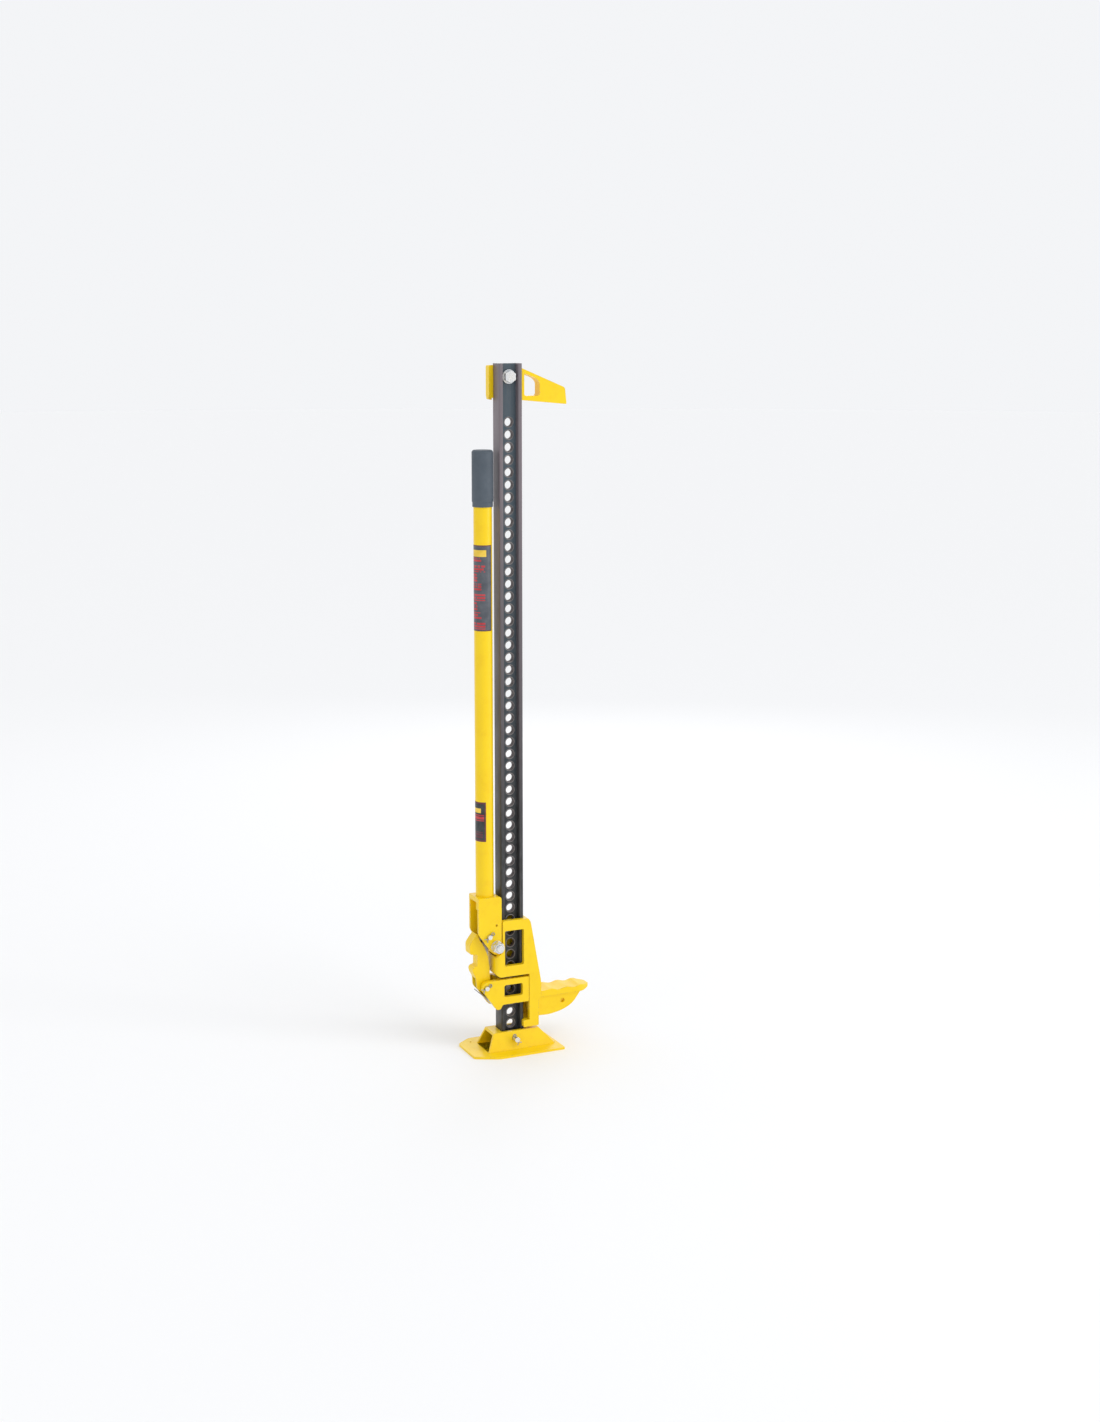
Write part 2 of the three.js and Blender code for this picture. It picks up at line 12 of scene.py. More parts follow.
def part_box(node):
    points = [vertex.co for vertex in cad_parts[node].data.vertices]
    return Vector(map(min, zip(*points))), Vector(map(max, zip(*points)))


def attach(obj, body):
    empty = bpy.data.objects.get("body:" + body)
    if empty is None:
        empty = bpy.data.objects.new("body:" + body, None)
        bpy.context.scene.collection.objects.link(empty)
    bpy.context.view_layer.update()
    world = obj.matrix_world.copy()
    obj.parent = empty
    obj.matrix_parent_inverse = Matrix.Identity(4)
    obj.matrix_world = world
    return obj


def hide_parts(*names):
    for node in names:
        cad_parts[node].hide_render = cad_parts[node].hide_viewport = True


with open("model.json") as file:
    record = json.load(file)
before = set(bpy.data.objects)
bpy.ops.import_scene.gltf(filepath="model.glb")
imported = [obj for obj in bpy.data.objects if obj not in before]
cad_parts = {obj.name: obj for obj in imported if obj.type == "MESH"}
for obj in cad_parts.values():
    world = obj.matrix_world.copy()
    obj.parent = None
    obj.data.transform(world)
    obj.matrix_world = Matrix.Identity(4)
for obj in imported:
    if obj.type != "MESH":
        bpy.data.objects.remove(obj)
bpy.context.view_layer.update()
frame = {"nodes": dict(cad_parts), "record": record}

MM = 0.001
NODES = frame["nodes"]
SCENE = bpy.context.scene

# The bar: a web with a row of holes between two flanges. FLANGE_START is where the web stops.
BAR_TOP = 1.219
WEB_HALF = 0.0045
FLANGE_START = 0.0141
FIRST_HOLE_Z = 0.0445
HOLE_PITCH = 0.0215
HOLE_COUNT = 51
HOLE_RADIUS = 0.0072
BAR_WIDTH = 0.043
BAR_DEPTH = 0.029
FLANGE_WIDTH = 0.0075
FLANGE_SWELL = 0.001
FLANGE_OUTER_ROUND = 0.0024
FLANGE_INNER_ROUND = 0.0018
BAR_END_CHAMFER = 0.0006
HOLE_CHAMFER = 0.0004
HOLE_STEPS = 32
CLAMP_BOLT_Z = 1.1965
CLAMP_BOLT_HOLE = 0.0063
BASE_PIN_HOLE = 0.0052
MERGE_DISTANCE = 2e-6


# ---------------------------------------------------------------- camera, light and floor

CAMERA_AZIMUTH = math.radians(-23.19)
CAMERA_DISTANCE = 3.564
CAMERA_HEIGHT = 1.313
CAMERA_PITCH = math.radians(9.82)
CAMERA_YAW = math.radians(1.17)
CAMERA_LENS = 52.4
CAMERA_SHIFT_Y = -0.032

LAMP_TARGET = Vector((0, 0, 0.6))
SKY_COLOUR = (0.97, 0.98, 1.0, 1)
SKY_STRENGTH = 0.93
SUN_STRENGTH = 0.42
SUN_TILT = math.radians(38)
SUN_TURN = math.radians(28)
SUN_WIDTH = math.radians(25)
FLOOR_RADIUS = 24
FLOOR_COLOUR = (0.9, 0.9, 0.9, 1)


def make_camera():
    """The camera stands in front of the jack and to the handle's side, a little above its top."""
    data = bpy.data.cameras.new("camera")
    data.lens = CAMERA_LENS
    data.sensor_width = 36
    data.shift_y = CAMERA_SHIFT_Y
    data.clip_end = 50
    camera = bpy.data.objects.new("camera", data)
    SCENE.collection.objects.link(camera)
    a = CAMERA_AZIMUTH
    camera.location = (math.sin(a) * CAMERA_DISTANCE, -math.cos(a) * CAMERA_DISTANCE, CAMERA_HEIGHT)
    turn = a - CAMERA_YAW
    camera.rotation_euler = Euler((math.pi / 2 - CAMERA_PITCH, 0, turn), "XYZ")
    SCENE.camera = camera


def make_area(name, location, size, energy):
    """A soft rectangular lamp that faces the middle of the jack."""
    data = bpy.data.lights.new(name, "AREA")
    data.shape = "RECTANGLE"
    data.size, data.size_y = size
    data.energy = energy
    lamp = bpy.data.objects.new(name, data)
    lamp.location = location
    direction = LAMP_TARGET - Vector(location)
    lamp.rotation_euler = direction.to_track_quat("-Z", "Y").to_euler()
    SCENE.collection.objects.link(lamp)


def make_studio():
    """A pale floor under an even sky. A soft sun lifts the floor to the brightness of the sky, and
    three lamps shape the jack from the right, the left and behind."""
    SCENE.view_settings.view_transform = "Standard"
    world = bpy.data.worlds.new("studio")
    SCENE.world = world
    world.use_nodes = True
    background = world.node_tree.nodes["Background"]
    background.inputs["Color"].default_value = SKY_COLOUR
    background.inputs["Strength"].default_value = SKY_STRENGTH
    make_area("right_lamp", (2.5, -2.1, 1.5), (0.7, 2.2), 20)
    make_area("left_lamp", (-3.0, -1.3, 1.3), (0.4, 2.0), 2)
    make_area("back_lamp", (1.4, 2.4, 1.6), (1.2, 1.6), 6)
    sun_data = bpy.data.lights.new("sun", "SUN")
    sun_data.energy = SUN_STRENGTH
    sun_data.angle = SUN_WIDTH
    sun = bpy.data.objects.new("sun", sun_data)
    sun.rotation_euler = Euler((SUN_TILT, 0, SUN_TURN), "XYZ")
    SCENE.collection.objects.link(sun)

    floor_mesh = bpy.data.meshes.new("floor")
    built = bmesh.new()
    bmesh.ops.create_circle(built, cap_ends=True, segments=64, radius=FLOOR_RADIUS)
    built.to_mesh(floor_mesh)
    built.free()
    floor = bpy.data.objects.new("floor", floor_mesh)
    SCENE.collection.objects.link(floor)
    paint = bpy.data.materials.new("floor")
    paint.use_nodes = True
    shader = paint.node_tree.nodes["Principled BSDF"]
    shader.inputs["Base Color"].default_value = FLOOR_COLOUR
    shader.inputs["Roughness"].default_value = 0.8
    floor_mesh.materials.append(paint)


# ---------------------------------------------------------------- material building blocks

class Paint:
    """A node material with short helpers for its nodes."""

    def __init__(self, name):
        self.material = bpy.data.materials.new(name)
        self.material.use_nodes = True
        self.tree = self.material.node_tree
        self.shader = self.tree.nodes["Principled BSDF"]
        self.place = self.tree.nodes.new("ShaderNodeTexCoord").outputs["Object"]

    def link(self, source, target):
        self.tree.links.new(source, target)

    def feed(self, value, socket):
        """Gives a socket its value: another socket, a number or a plain colour."""
        if hasattr(value, "links"):
            self.link(value, socket)
        elif isinstance(value, (int, float)):
            socket.default_value = value
        else:
            socket.default_value = (*value, 1)

    def noise(self, scale, detail=4.0, roughness=0.55, stretch=(1, 1, 1)):
        """Cloudy noise from 0 to 1 in the piece's own space, stretched along its axes."""
        mapping = self.tree.nodes.new("ShaderNodeMapping")
        mapping.inputs["Scale"].default_value = stretch
        self.link(self.place, mapping.inputs["Vector"])
        texture = self.tree.nodes.new("ShaderNodeTexNoise")
        texture.inputs["Scale"].default_value = scale
        texture.inputs["Detail"].default_value = detail
        texture.inputs["Roughness"].default_value = roughness
        self.link(mapping.outputs["Vector"], texture.inputs["Vector"])
        return texture.outputs["Fac"]

    def ramp(self, source, *stops):
        """Maps a value to grey or colour through (position, colour) stops."""
        node = self.tree.nodes.new("ShaderNodeValToRGB")
        elements = node.color_ramp.elements
        while len(elements) < len(stops):
            elements.new(0.5)
        for element, (position, colour) in zip(elements, stops):
            element.position = position
            grey = isinstance(colour, (int, float))
            element.color = (colour, colour, colour, 1) if grey else (*colour, 1)
        self.link(source, node.inputs["Fac"])
        return node.outputs["Color"]

    def mix(self, factor, first, second):
        """Mixes two colours; each is a socket or a plain colour, and factor a socket or a number."""
        node = self.tree.nodes.new("ShaderNodeMix")
        node.data_type = "RGBA"
        self.feed(factor, node.inputs[0])
        self.feed(first, node.inputs[6])
        self.feed(second, node.inputs[7])
        return node.outputs[2]

    def math(self, operation, first, second):
        node = self.tree.nodes.new("ShaderNodeMath")
        node.operation = operation
        self.feed(first, node.inputs[0])
        self.feed(second, node.inputs[1])
        return node.outputs[0]

    def edge(self, radius, low=0.06, high=0.32):
        """Near 1 where the surface bends sharply outward or inward, within the radius."""
        bevel = self.tree.nodes.new("ShaderNodeBevel")
        bevel.samples = 4
        bevel.inputs["Radius"].default_value = radius
        geometry = self.tree.nodes.new("ShaderNodeNewGeometry")
        dot = self.tree.nodes.new("ShaderNodeVectorMath")
        dot.operation = "DOT_PRODUCT"
        self.link(bevel.outputs["Normal"], dot.inputs[0])
        self.link(geometry.outputs["Normal"], dot.inputs[1])
        away = self.math("SUBTRACT", 1.0, dot.outputs["Value"])
        return self.ramp(away, (low, 0.0), (high, 1.0))

    def bump(self, height, strength, distance):
        node = self.tree.nodes.new("ShaderNodeBump")
        node.inputs["Strength"].default_value = strength
        node.inputs["Distance"].default_value = distance
        self.link(height, node.inputs["Height"])
        return node.outputs["Normal"]

    def finish(self, colour, roughness, normal=None, metallic=0.0):
        self.feed(colour, self.shader.inputs["Base Color"])
        self.feed(roughness, self.shader.inputs["Roughness"])
        self.feed(metallic, self.shader.inputs["Metallic"])
        if normal is not None:
            self.link(normal, self.shader.inputs["Normal"])
        return self.material


# ---------------------------------------------------------------- materials

YELLOW = (0.9, 0.6, 0.0)
YELLOW_DEEP = (0.82, 0.48, 0.0)
YELLOW_LIGHT = (0.92, 0.64, 0.002)
PRIMER = (0.22, 0.17, 0.12)
BLACK_DEEP = (0.011, 0.013, 0.014)
BLACK_SOFT = (0.02, 0.02, 0.02)
# Top colours of the bar, slate on the web and mauve on the flanges: a painted reflection of the sky.
SLATE_SHEEN = (0.05, 0.078, 0.1)
MAUVE_SHEEN = (0.17, 0.14, 0.155)
STEEL_GREY = (0.2, 0.19, 0.18)
STEEL_PALE = (0.42, 0.38, 0.37)


def yellow_paint(name, grain, chips):
    """Yellow powder coat over a cast or a smooth surface, with worn edges that show the primer."""
    paint = Paint(name)
    cloud = paint.noise(14, 3)
    colour = paint.mix(paint.ramp(cloud, (0.3, 0.0), (0.72, 1.0)), YELLOW, YELLOW_LIGHT)
    grime = paint.ramp(paint.noise(48, 6, 0.65), (0.52, 0.0), (0.8, 1.0))
    colour = paint.mix(paint.math("MULTIPLY", grime, 0.5), colour, YELLOW_DEEP)
    edge = paint.edge(0.002, 0.02, 0.16)
    broken = paint.ramp(paint.noise(160, 5, 0.7), (0.5, 0.0), (0.6, 1.0))
    worn = paint.math("MULTIPLY", paint.math("MULTIPLY", edge, broken), chips)
    colour = paint.mix(worn, colour, PRIMER)
    rough = paint.ramp(paint.noise(70, 4), (0.3, 0.3), (0.75, 0.44))
    rough = paint.mix(worn, rough, (0.6, 0.6, 0.6))
    height = paint.mix(0.35, paint.noise(330, 5, 0.6), paint.noise(900, 2))
    material = paint.finish(colour, rough, paint.bump(height, grain, 0.0006))
    paint.shader.inputs["Specular IOR Level"].default_value = 0.35
    paint.shader.inputs["Coat Weight"].default_value = 0.12
    paint.shader.inputs["Coat Roughness"].default_value = 0.16
    return material


def bar_paint(name, low_colour, top_sheen_colour, wear_colour, wear):
    """Black paint on rolled steel. It is deep near the foot, and paler towards the top in a painted
    reflection of the sky.
    """
    paint = Paint(name)
    split = paint.tree.nodes.new("ShaderNodeSeparateXYZ")
    paint.link(paint.place, split.inputs["Vector"])
    height = paint.math("DIVIDE", split.outputs["Z"], BAR_TOP)
    drift = paint.math("MULTIPLY", paint.noise(7, 4, 0.6, (1, 1, 0.5)), 0.3)
    # Painted reflection: the black turns towards the pale top colour as the height grows.
    painted_sheen = paint.ramp(paint.math("ADD", height, drift), (0.42, 0.0), (1.0, 1.0))
    colour = paint.mix(painted_sheen, low_colour, top_sheen_colour)
    mottle = paint.ramp(paint.noise(150, 5, 0.65, (1, 1, 0.35)), (0.42, 0.0), (0.72, 1.0))
    colour = paint.mix(paint.math("MULTIPLY", mottle, 0.35), colour, (0.11, 0.115, 0.12))
    streak = paint.ramp(paint.noise(300, 4, 0.6, (1, 1, 0.02)), (0.56, 0.0), (0.78, 1.0))
    colour = paint.mix(paint.math("MULTIPLY", streak, 0.3), colour, (0.16, 0.15, 0.155))
    broken = paint.ramp(paint.noise(110, 6, 0.7, (1, 1, 0.25)), (0.42, 0.0), (0.6, 1.0))
    worn = paint.math("MULTIPLY", paint.math("MULTIPLY", paint.edge(0.0012), broken), wear)
    colour = paint.mix(worn, colour, wear_colour)
    rough = paint.ramp(paint.noise(40, 5, 0.6, (1, 1, 0.3)), (0.3, 0.34), (0.75, 0.52))
    normal = paint.bump(paint.noise(420, 5, 0.6, (1, 1, 0.4)), 0.25, 0.0004)
    return paint.finish(colour, rough, normal, paint.math("MULTIPLY", worn, 0.6))


def hole_steel(name, dark, pale):
    """Grey-brown steel that the climbing pins have rubbed."""
    paint = Paint(name)
    blotch = paint.noise(130, 5, 0.6)
    colour = paint.mix(paint.ramp(blotch, (0.35, 0.0), (0.7, 1.0)), dark, pale)
    rough = paint.ramp(paint.noise(300, 3), (0.3, 0.46), (0.7, 0.66))
    normal = paint.bump(paint.noise(800, 3), 0.3, 0.0003)
    return paint.finish(colour, rough, normal, 0.2)


def zinc_plate():
    """Bright zinc: silvery with faint blue and straw clouds and fine turning marks."""
    paint = Paint("zinc_plate")
    cloud = paint.noise(90, 4, 0.6)
    silver = ((0.3, (0.62, 0.65, 0.69)), (0.55, (0.78, 0.77, 0.75)), (0.8, (0.84, 0.8, 0.71)))
    edge = paint.math("MULTIPLY", paint.edge(0.0006), 0.35)
    colour = paint.mix(edge, paint.ramp(cloud, *silver), (0.93, 0.93, 0.93))
    dull = paint.ramp(paint.noise(260, 5, 0.7), (0.35, 0.2), (0.75, 0.42))
    normal = paint.bump(paint.noise(1400, 3, 0.6, (1, 0.15, 1)), 0.25, 0.0002)
    return paint.finish(colour, dull, normal, 0.85)


def bare_steel():
    """Plain oiled steel with darker patches, a trace of rust and rubbed edges."""
    paint = Paint("bare_steel")
    cloud = paint.noise(70, 5, 0.65)
    patches = ((0.3, (0.24, 0.24, 0.26)), (0.6, (0.4, 0.4, 0.42)), (0.8, (0.52, 0.51, 0.5)))
    rust = paint.ramp(paint.noise(150, 6, 0.75), (0.62, 0.0), (0.74, 1.0))
    colour = paint.mix(paint.math("MULTIPLY", rust, 0.35), paint.ramp(cloud, *patches), (0.22, 0.1, 0.045))
    edge = paint.math("MULTIPLY", paint.edge(0.0007), 0.5)
    colour = paint.mix(edge, colour, (0.7, 0.69, 0.67))
    rough = paint.ramp(paint.noise(200, 4), (0.3, 0.28), (0.7, 0.5))
    normal = paint.bump(paint.noise(700, 4, 0.6), 0.3, 0.0003)
    return paint.finish(colour, rough, normal, 0.8)


def grip_rubber():
    """Matt slate-grey rubber with a fine moulded grain and pale scuffs."""
    paint = Paint("grip_rubber")
    cloud = paint.ramp(paint.noise(36, 4), (0.3, 0.0), (0.75, 1.0))
    colour = paint.mix(cloud, (0.06, 0.079, 0.1), (0.085, 0.107, 0.132))
    scuff = paint.ramp(paint.noise(210, 6, 0.75, (1, 1, 0.3)), (0.6, 0.0), (0.74, 1.0))
    colour = paint.mix(paint.math("MULTIPLY", scuff, 0.18), colour, (0.2, 0.22, 0.24))
    rough = paint.ramp(paint.noise(120, 4), (0.3, 0.48), (0.7, 0.64))
    normal = paint.bump(paint.noise(1500, 3, 0.7), 0.45, 0.0004)
    return paint.finish(colour, rough, normal)


def vinyl(name, colour):
    """Printed vinyl, a little faded in clouds and rubbed through in small specks."""
    paint = Paint(name)
    faded = tuple(min(1.0, 0.04 + 1.25 * channel) for channel in colour)
    shade = paint.mix(paint.ramp(paint.noise(60, 4), (0.35, 0.0), (0.75, 1.0)), colour, faded)
    rubbed = paint.ramp(paint.noise(420, 5, 0.75), (0.66, 0.0), (0.74, 1.0))
    shade = paint.mix(paint.math("MULTIPLY", rubbed, 0.3), shade, (0.4, 0.37, 0.3))
    rough = paint.ramp(paint.noise(90, 3), (0.3, 0.28), (0.7, 0.42))
    return paint.finish(shade, rough, paint.bump(paint.noise(600, 3), 0.15, 0.0002))


MATERIALS = {
    "cast_yellow": yellow_paint("cast_yellow", 0.5, 0.75),
    "smooth_yellow": yellow_paint("smooth_yellow", 0.16, 0.5),
    # The bar's pale top colours are a painted reflection, laid on by height.
    "web_black": bar_paint("web_black", BLACK_DEEP, SLATE_SHEEN, STEEL_GREY, 0.5),
    "flange_black": bar_paint("flange_black", BLACK_SOFT, MAUVE_SHEEN, STEEL_PALE, 0.85),
    # The bores' steel is darkened with painted shade inside the holes.
    "hole_bore_shaded_steel": hole_steel("hole_bore_shaded_steel", (0.09, 0.072, 0.07), (0.15, 0.12, 0.118)),
    "hole_rim": hole_steel("hole_rim", (0.17, 0.15, 0.145), (0.3, 0.27, 0.262)),
    "zinc": zinc_plate(),
    "steel": bare_steel(),
    "rubber": grip_rubber(),
    "vinyl_slate": vinyl("vinyl_slate", (0.062, 0.07, 0.085)),
    "vinyl_dark": vinyl("vinyl_dark", (0.014, 0.018, 0.02)),
    "vinyl_red": vinyl("vinyl_red", (0.45, 0.02, 0.028)),
    "vinyl_maroon": vinyl("vinyl_maroon", (0.1, 0.012, 0.02)),
    "vinyl_yellow": vinyl("vinyl_yellow", (0.75, 0.5, 0.04)),
}

BODIES = frame["record"]["behaviour"]["bodies"]
BODY_OF = {node: body for body, members in BODIES.items() for node in members}


def add_piece(name, built, materials, body, replaced=(), smooth_angle=35):
    """A finished bmesh as a piece that rides on a body."""
    mesh = bpy.data.meshes.new(name)
    bmesh.ops.recalc_face_normals(built, faces=built.faces)
    built.to_mesh(mesh)
    built.free()
    for key in materials:
        mesh.materials.append(MATERIALS[key])
    piece = bpy.data.objects.new(name, mesh)
    SCENE.collection.objects.link(piece)
    mesh.shade_smooth()
    mesh.set_sharp_from_angle(angle=math.radians(smooth_angle))
    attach(piece, body)
    if replaced:
        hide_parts(*replaced)
    return piece


# ---------------------------------------------------------------- rounded copies of the CAD pieces

def joined_copy(node):
    """The CAD node's mesh with its doubled points and the seams in its flat faces taken out."""
    built = bmesh.new()
    built.from_mesh(NODES[node].data)
    bmesh.ops.remove_doubles(built, verts=built.verts, dist=MERGE_DISTANCE)
    flat = math.radians(0.6)
    bmesh.ops.dissolve_limit(built, angle_limit=flat, verts=built.verts, edges=built.edges)
    return built


def rounded(node, material, width):
    """The CAD node with rounded edges, in place of the plain one."""
    piece = add_piece(node + "_rounded", joined_copy(node), (material,), BODY_OF[node], (node,))
    bevel = piece.modifiers.new("edges", "BEVEL")
    bevel.width = width
    bevel.segments = 3
    bevel.limit_method = "ANGLE"
    bevel.angle_limit = math.radians(30)
    bevel.use_clamp_overlap = True
    bevel.miter_outer = "MITER_ARC"
    bevel.harden_normals = True


# Each CAD node's material, and how wide its edges are rounded in millimetres.
ROUNDED = {
    "base_plate": ("smooth_yellow", 1.2),
    "top_clamp": ("cast_yellow", 2.2),
    "large_runner": ("cast_yellow", 1.4),
    "small_runner": ("cast_yellow", 1.4),
    "handle_socket": ("cast_yellow", 1.4),
    "reversing_latch": ("cast_yellow", 1.6),
    "pitman": ("steel", 0.8),
    "latch_spring_clip": ("steel", 0.3),
    "handle_tube": ("smooth_yellow", 0.4),
    "handle_grip": ("rubber", 0.8),
    "tube_roll_pin": ("zinc", 0.3),
    "crank_pin": ("zinc", 0.6),
    "pivot_pin": ("zinc", 0.6),
    "base_pin": ("zinc", 0.6),
    "shear_bolt": ("zinc", 0.6),
    "shear_washer": ("zinc", 0.3),
    "shear_nut": ("zinc", 0.6),
    "clamp_bolt": ("zinc", 0.7),
    "clamp_washer": ("zinc", 0.5),
    "clamp_nut": ("zinc", 0.6),
    "climbing_pin_upper": ("steel", 0.6),
    "climbing_pin_lower": ("steel", 0.6),
    "cross_pin_upper": ("zinc", 0.4),
    "cross_pin_lower": ("zinc", 0.4),
}
# Nodes that keep their CAD mesh.
CARRIED = ("base_split_pin", "crank_split_pin", "pivot_split_pin")


# The bar's materials, and their places in the list.
BAR_MATERIALS = ("web_black", "flange_black", "hole_bore_shaded_steel")
WEB, FLANGE, BORE = range(3)


def quad_strip(built, first, second, index=0):
    """Quads between two closed rows of points."""
    for i in range(len(first)):
        n = (i + 1) % len(first)
        built.faces.new((first[i], first[n], second[n], second[i])).material_index = index


def hole_angles(up, down):
    """Even steps round a hole, and the direction of each corner of its stretch of the web."""
    sides = (FLANGE_START, -FLANGE_START)
    corners = [math.atan2(rise, side) for rise in (up, -down) for side in sides]
    even = [2 * math.pi * (k + 0.5) / HOLE_STEPS - math.pi for k in range(HOLE_STEPS)]
    return sorted(corners + even)


def add_web_cell(built, centre_z, low_z, high_z, radius):
    """One stretch of the web, pierced by one hole with a small chamfer at each face."""
    up, down = high_z - centre_z, centre_z - low_z
    wide = radius + HOLE_CHAMFER
    sides = []
    for side in (-1, 1):
        border, rim, lip = [], [], []
        for a in hole_angles(up, down):
            c, d = math.cos(a), math.sin(a)
            to_side = FLANGE_START / max(abs(c), 1e-9)
            to_end = (up if d > 0 else down) / max(abs(d), 1e-9)
            reach = min(to_side, to_end)
            y, inner_y = side * WEB_HALF, side * (WEB_HALF - HOLE_CHAMFER)
            border.append(built.verts.new((reach * c, y, centre_z + reach * d)))
            rim.append(built.verts.new((wide * c, y, centre_z + wide * d)))
            lip.append(built.verts.new((radius * c, inner_y, centre_z + radius * d)))
        quad_strip(built, border, rim, WEB)
        quad_strip(built, rim, lip, BORE)
        sides.append((border, lip))
    (front, front_lip), (back, back_lip) = sides
    quad_strip(built, front_lip, back_lip, BORE)
    for i, point in enumerate(front):
        n = (i + 1) % len(front)
        middle = (point.co + front[n].co) / 2
        at_end = min(abs(middle.z), abs(middle.z - BAR_TOP)) < 1e-6
        if at_end or abs(abs(middle.x) - FLANGE_START) < 1e-6:
            built.faces.new((point, front[n], back[n], back[i]))


def add_plain_web(built, low_z, high_z):
    """A stretch of the web without a hole. Its points meet those of the stretches beside it."""
    half = HOLE_PITCH / 2
    edge_x = {round(half / math.tan(a), 9) for a in hole_angles(half, half) if math.sin(a) > 0}
    across = sorted(x for x in edge_x if abs(x) <= FLANGE_START + 1e-6)
    rows = []
    for y, z in ((-WEB_HALF, low_z), (-WEB_HALF, high_z), (WEB_HALF, high_z), (WEB_HALF, low_z)):
        rows.append([built.verts.new((x, y, z)) for x in across])
    for first, second in ((rows[0], rows[1]), (rows[2], rows[3])):
        for i in range(len(across) - 1):
            built.faces.new((first[i], first[i + 1], second[i + 1], second[i]))
    for end in (0, -1):
        built.faces.new([row[end] for row in rows])


def add_flange(built, side):
    """A flange as a bar of rounded section, with an inner face that swells towards the web."""
    half_width, half_depth = BAR_WIDTH / 2, BAR_DEPTH / 2
    inner = half_width - FLANGE_WIDTH
    section = []
    for x, y, radius, start_deg in (
        (half_width, -half_depth, FLANGE_OUTER_ROUND, 270),
        (half_width, half_depth, FLANGE_OUTER_ROUND, 0),
        (inner, half_depth, FLANGE_INNER_ROUND, 90),
        (inner, -half_depth, FLANGE_INNER_ROUND, 180),
    ):
        towards_middle = -1 if x == half_width else 1
        centre_x = x + towards_middle * radius
        centre_y = y - math.copysign(radius, y)
        for step in range(6):
            a = math.radians(start_deg + 90 * step / 5)
            section.append((centre_x + radius * math.cos(a), centre_y + radius * math.sin(a)))
        if start_deg == 90:
            section.append((inner - FLANGE_SWELL, 0))
    middle = half_width - FLANGE_WIDTH / 2
    end_share = 0.97
    rows = []
    for z, share in (
        (0, end_share),
        (BAR_END_CHAMFER, 1),
        (BAR_TOP - BAR_END_CHAMFER, 1),
        (BAR_TOP, end_share),
    ):
        ring = [(side * (middle + (x - middle) * share), y * share, z) for x, y in section]
        rows.append([built.verts.new(point) for point in ring])
    for low, high in zip(rows, rows[1:]):
        quad_strip(built, low, high, FLANGE)
    built.faces.new(rows[0]).material_index = FLANGE
    built.faces.new(rows[-1]).material_index = FLANGE


def make_bar():
    """The standard, with a clean web: one stretch for each hole, between two rounded flanges."""
    built = bmesh.new()
    half = HOLE_PITCH / 2
    last_z = FIRST_HOLE_Z + (HOLE_COUNT - 1) * HOLE_PITCH
    add_web_cell(built, FIRST_HOLE_Z - HOLE_PITCH, 0, FIRST_HOLE_Z - half, BASE_PIN_HOLE)
    for k in range(HOLE_COUNT):
        z = FIRST_HOLE_Z + k * HOLE_PITCH
        add_web_cell(built, z, z - half, z + half, HOLE_RADIUS)
    add_plain_web(built, last_z + half, CLAMP_BOLT_Z - half)
    add_web_cell(built, CLAMP_BOLT_Z, CLAMP_BOLT_Z - half, BAR_TOP, CLAMP_BOLT_HOLE)
    bmesh.ops.remove_doubles(built, verts=built.verts, dist=MERGE_DISTANCE)
    for side in (-1, 1):
        add_flange(built, side)
    add_piece("standard_bar_clean", built, BAR_MATERIALS, "standard", ("standard_bar",))


def make_rounded_pieces():
    """Every rounded copy, and the finish of the nodes that keep their CAD mesh."""
    for node, (material, width) in ROUNDED.items():
        rounded(node, material, width * MM)
    for node in CARRIED:
        mesh = NODES[node].data
        mesh.materials.clear()
        mesh.materials.append(MATERIALS["steel"])
        mesh.shade_smooth()
        mesh.set_sharp_from_angle(angle=math.radians(50))


# ---------------------------------------------------------------- round detail

THREAD_PITCH = 1.25
THREAD_HEIGHT = 0.32
THREAD_ROOT = 0.02
THREAD_CORE = 0.6
THREAD_START = 0.8 * MM
RIM_STEPS = ((0.7, 0.25), (0.9, -0.3), (1.4, -0.35), (2.1, -0.05), (2.1, 0.25))
RING_PROFILE = [(2.2, 0.2), (2.4, -0.3), (3.2, -0.3), (3.4, 0.2)]
RIB_SIZE = Matrix.Diagonal((3.6 * MM, 0.7 * MM, 0.9 * MM, 1))
RIB_PLACE = Matrix.Translation((5.8 * MM, 0, 0))
SPRING_WIRE = 1.1 * MM


def lathe(built, profile, matrix, segments=32):
    """Turns a closed profile of (radius, along) about the local Y axis, in millimetres."""
    rings = []
    for k in range(segments):
        a = 2 * math.pi * k / segments
        ring = [Vector((r * math.cos(a), y, r * math.sin(a))) * MM for r, y in profile]
        rings.append([built.verts.new(matrix @ point) for point in ring])
    for k, ring in enumerate(rings):
        quad_strip(built, ring, rings[(k + 1) % segments])


def make_hole_rims():
    """A low worn rim around each pin hole, on both faces of the web."""
    built = bmesh.new()
    radius = HOLE_RADIUS / MM
    rim = [(radius + out, along) for out, along in RIM_STEPS]
    for k in range(HOLE_COUNT):
        for side in (-1, 1):
            place = Matrix.Translation((0, side * WEB_HALF, FIRST_HOLE_Z + k * HOLE_PITCH))
            turned = Matrix.Scale(-1, 4, (0, 1, 0)) if side > 0 else Matrix.Identity(4)
            lathe(built, rim, place @ turned, 28)
    add_piece("hole_rims", built, ("hole_rim",), "standard")


